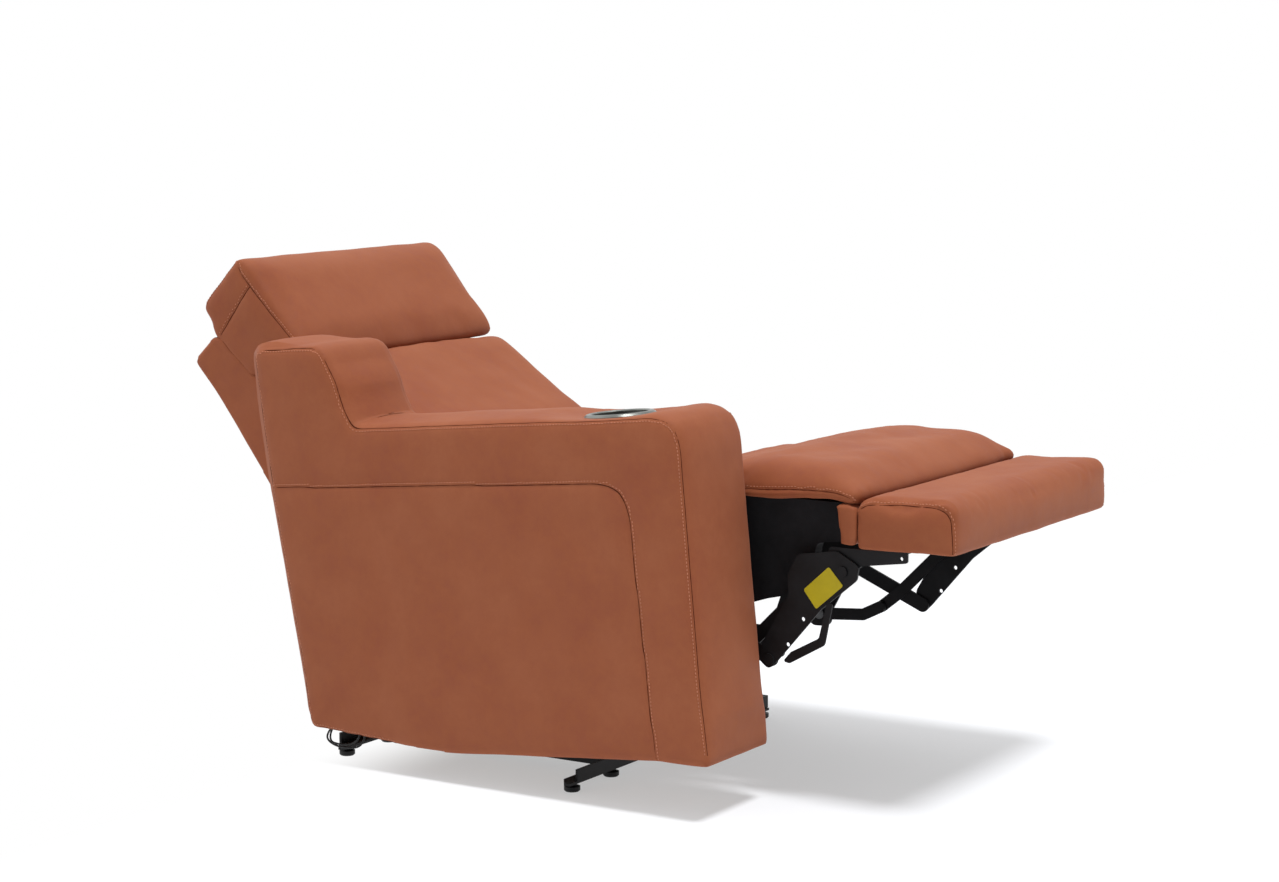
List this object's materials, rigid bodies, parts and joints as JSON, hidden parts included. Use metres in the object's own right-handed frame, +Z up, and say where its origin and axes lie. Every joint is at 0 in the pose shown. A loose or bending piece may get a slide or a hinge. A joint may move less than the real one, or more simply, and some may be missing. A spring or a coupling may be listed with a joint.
{
  "type": "recliners, rocking chairs and gliders",
  "caption": "One-armed power recliner seat with leather cushions, motor-driven back, headrest and footrest on steel linkages, and a cup holder in the arm.",
  "frame": {"origin": "on the floor under the middle of the chair's overall size", "axes": "X across the seat with the arm at -X, Y from footrest to back, Z up"},
  "size_m": [0.741, 1.4365, 0.7956],
  "materials": {
    "leather": "matte fine-grain cognac leather",
    "wood": "plywood",
    "black_steel": "satin black paint",
    "zinc_steel": "zinc plated",
    "stainless": "brushed stainless",
    "black_plastic": "matte",
    "black_cloth": "non-woven cloth",
    "black_rubber": "satin sheath"
  },
  "bodies": {
    "base": {"glide_feet": "black_plastic", "crossbars": "black_steel", "side_rails": "black_steel", "rail_ends": "black_steel", "axle_brackets": "black_steel", "lift_brackets": "black_steel"},
    "carriage": {"arm_upholstery": "leather", "arm_outer_board": "wood", "arm_inner_board": "wood", "arm_rail_ring": "wood", "cup_holder": "stainless", "switch_panel": "black_plastic", "carriage_plates": "black_steel", "carriage_rivets": "zinc_steel", "tilt_axle": "black_steel", "carriage_tubes": "black_steel", "lift_lugs": "black_steel", "arm_bolts": "zinc_steel", "motor_clevis": "black_steel", "recline_motor": "black_plastic", "arm_leads": "black_rubber", "lead_clips": "black_plastic"},
    "lift_link": {"lift_links": "black_steel"},
    "rear_swing": {"rear_swing_links": "black_steel"},
    "front_swing": {"front_swing_links": "black_steel"},
    "seat": {"seat_plates": "black_steel", "seat_rivets": "zinc_steel", "seat_bushes": "zinc_steel", "seat_tubes": "black_steel", "seat_motor_fork": "black_steel", "seat_box": "wood", "seat_side_cloths": "black_cloth", "seat_webbing": "black_cloth", "front_apron": "leather", "front_pad": "leather", "seat_cushion": "leather"},
    "upper_link": {"footrest_upper_links": "black_steel"},
    "lower_link": {"footrest_lower_links": "black_steel"},
    "guide_link": {"footrest_guide_links": "black_steel"},
    "long_link": {"footrest_long_links": "black_steel", "footrest_stop_arm": "black_steel"},
    "footrest": {"footrest_brackets": "black_steel", "footrest_core": "black_cloth", "footrest_upholstery": "leather"},
    "back": {"back_shell": "leather", "back_frame": "wood", "back_irons": "black_steel", "back_cushion": "leather", "headrest_hinge": "black_steel", "headrest_motor_ears": "black_steel"},
    "headrest": {"headrest_cushion": "leather", "headrest_board": "wood", "headrest_leaves": "black_steel"},
    "headrest_motor": {"headrest_motor": "black_plastic"},
    "headrest_rod": {"headrest_motor_rod": "zinc_steel"},
    "recline_rod": {"recline_motor_rod": "zinc_steel"},
    "button_recline": {"button_recline": "black_plastic"},
    "button_upright": {"button_upright": "black_plastic"},
    "button_head_up": {"button_head_up": "black_plastic"},
    "button_head_down": {"button_head_down": "black_plastic"}
  },
  "joints": [
    {"name": "carriage_tilt", "type": "hinge", "parent": "base", "child": "carriage", "pos_m": [0.0915, 0.315, 0.08], "axis": [1, 0, 0], "range_deg": [0, 5.57]},
    {"name": "lift_link_turn", "type": "hinge", "parent": "base", "child": "lift_link", "pos_m": [0.0915, -0.104, 0.056], "axis": [1, 0, 0], "range_deg": [-25.2, 0]},
    {"name": "rear_swing_turn", "type": "hinge", "parent": "carriage", "child": "rear_swing", "pos_m": [0.0915, 0.11372, 0.114], "axis": [1, 0, 0], "range_deg": [-53.71, 0]},
    {"name": "front_swing_turn", "type": "hinge", "parent": "carriage", "child": "front_swing", "pos_m": [0.0915, -0.10421, 0.114], "axis": [1, 0, 0], "range_deg": [-54.49, 0]},
    {"name": "seat_swing", "type": "hinge", "parent": "rear_swing", "child": "seat", "pos_m": [0.0915, 0.046, 0.23], "axis": [1, 0, 0], "range_deg": [0, 60.64]},
    {"name": "back_recline", "type": "hinge", "parent": "seat", "child": "back", "pos_m": [0.0915, 0.136, 0.335], "axis": [1, 0, 0], "range_deg": [0, 27.5]},
    {"name": "upper_link_turn", "type": "hinge", "parent": "seat", "child": "upper_link", "pos_m": [0.0915, -0.2466, 0.2815], "axis": [1, 0, 0], "range_deg": [0, 5.68]},
    {"name": "lower_link_turn", "type": "hinge", "parent": "seat", "child": "lower_link", "pos_m": [0.0915, -0.2095, 0.1829], "axis": [1, 0, 0], "range_deg": [0, 8.93]},
    {"name": "guide_link_turn", "type": "hinge", "parent": "upper_link", "child": "guide_link", "pos_m": [0.0915, -0.3613, 0.2347], "axis": [1, 0, 0], "range_deg": [-18.76, 0]},
    {"name": "long_link_turn", "type": "hinge", "parent": "upper_link", "child": "long_link", "pos_m": [0.0915, -0.4004, 0.2158], "axis": [1, 0, 0], "range_deg": [-28.89, 0]},
    {"name": "footrest_turn", "type": "hinge", "parent": "long_link", "child": "footrest", "pos_m": [0.0915, -0.5257, 0.3631], "axis": [1, 0, 0], "range_deg": [0, 100.71]},
    {"name": "recline_drive", "type": "slide", "parent": "carriage", "child": "recline_rod", "axis": [0, 0.9912, -0.1322], "range_m": [0, 0.12789]},
    {"name": "headrest_tilt", "type": "hinge", "parent": "back", "child": "headrest", "pos_m": [0.0915, 0.51397, 0.62999], "axis": [1, 0, 0], "range_deg": [0, 30]},
    {"name": "headrest_motor_turn", "type": "hinge", "parent": "back", "child": "headrest_motor", "pos_m": [0.0915, 0.396, 0.392], "axis": [1, 0, 0], "range_deg": [0, 3.52]},
    {"name": "headrest_drive", "type": "slide", "parent": "headrest_motor", "child": "headrest_rod", "axis": [0, 0.7202, 0.6938], "range_m": [0, 0.04353]},
    {"name": "button_recline_press", "type": "slide", "parent": "carriage", "child": "button_recline", "axis": [-1, 0, 0], "range_m": [0, 0.0012], "stiffness_N_per_m": 800, "springref_m": -0.001},
    {"name": "button_upright_press", "type": "slide", "parent": "carriage", "child": "button_upright", "axis": [-1, 0, 0], "range_m": [0, 0.0012], "stiffness_N_per_m": 800, "springref_m": -0.001},
    {"name": "button_head_up_press", "type": "slide", "parent": "carriage", "child": "button_head_up", "axis": [-1, 0, 0], "range_m": [0, 0.0012], "stiffness_N_per_m": 800, "springref_m": -0.001},
    {"name": "button_head_down_press", "type": "slide", "parent": "carriage", "child": "button_head_down", "axis": [-1, 0, 0], "range_m": [0, 0.0012], "stiffness_N_per_m": 800, "springref_m": -0.001}
  ],
  "couplings": [
    {"joint": "lift_link_turn", "follows": "carriage_tilt", "ratio": -4.5242},
    {"joint": "rear_swing_turn", "follows": "carriage_tilt", "ratio": -9.6419},
    {"joint": "front_swing_turn", "follows": "carriage_tilt", "ratio": -9.7833},
    {"joint": "seat_swing", "follows": "carriage_tilt", "ratio": 10.886},
    {"joint": "back_recline", "follows": "carriage_tilt", "ratio": 4.9372},
    {"joint": "upper_link_turn", "follows": "carriage_tilt", "ratio": 1.0191},
    {"joint": "lower_link_turn", "follows": "carriage_tilt", "ratio": 1.6032},
    {"joint": "guide_link_turn", "follows": "carriage_tilt", "ratio": -3.3682},
    {"joint": "long_link_turn", "follows": "carriage_tilt", "ratio": -5.1859},
    {"joint": "footrest_turn", "follows": "carriage_tilt", "ratio": 18.081},
    {"joint": "recline_drive", "follows": "carriage_tilt", "m_per_rad": 1.3155},
    {"joint": "headrest_motor_turn", "follows": "headrest_tilt", "ratio": 0.11722},
    {"joint": "headrest_drive", "follows": "headrest_tilt", "m_per_rad": 0.083125}
  ]
}
